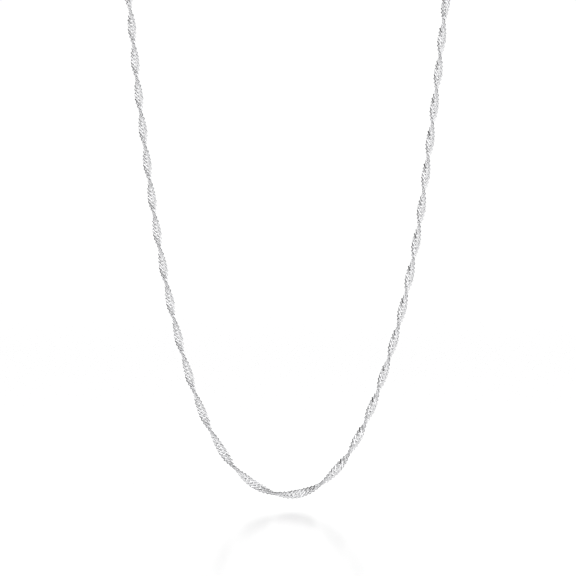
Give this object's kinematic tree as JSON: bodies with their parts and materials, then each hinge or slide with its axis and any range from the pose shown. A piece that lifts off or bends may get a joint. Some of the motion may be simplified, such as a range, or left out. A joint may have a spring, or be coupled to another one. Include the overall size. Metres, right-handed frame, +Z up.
{
  "type": "singapore chain necklace",
  "caption": "Fine twisted singapore chain necklace of paired curb links, a closed loop in its worn form with a plain ring clasp at the nape.",
  "frame": {"origin": "the nape, in the middle of the clasp group, where the loop rests on the back of the neck", "axes": "+Z up, -Y to the wearer's front, +X to the wearer's left"},
  "size_m": [0.0976, 0.0976, 0.1544],
  "materials": {
    "chain_silver": "diamond cut, bright polished",
    "fittings_silver": "polished"
  },
  "bodies": {
    "root": {"chain": "chain_silver", "jump_ring": "fittings_silver", "clasp": "fittings_silver", "catch_ring": "fittings_silver"}
  },
  "joints": []
}
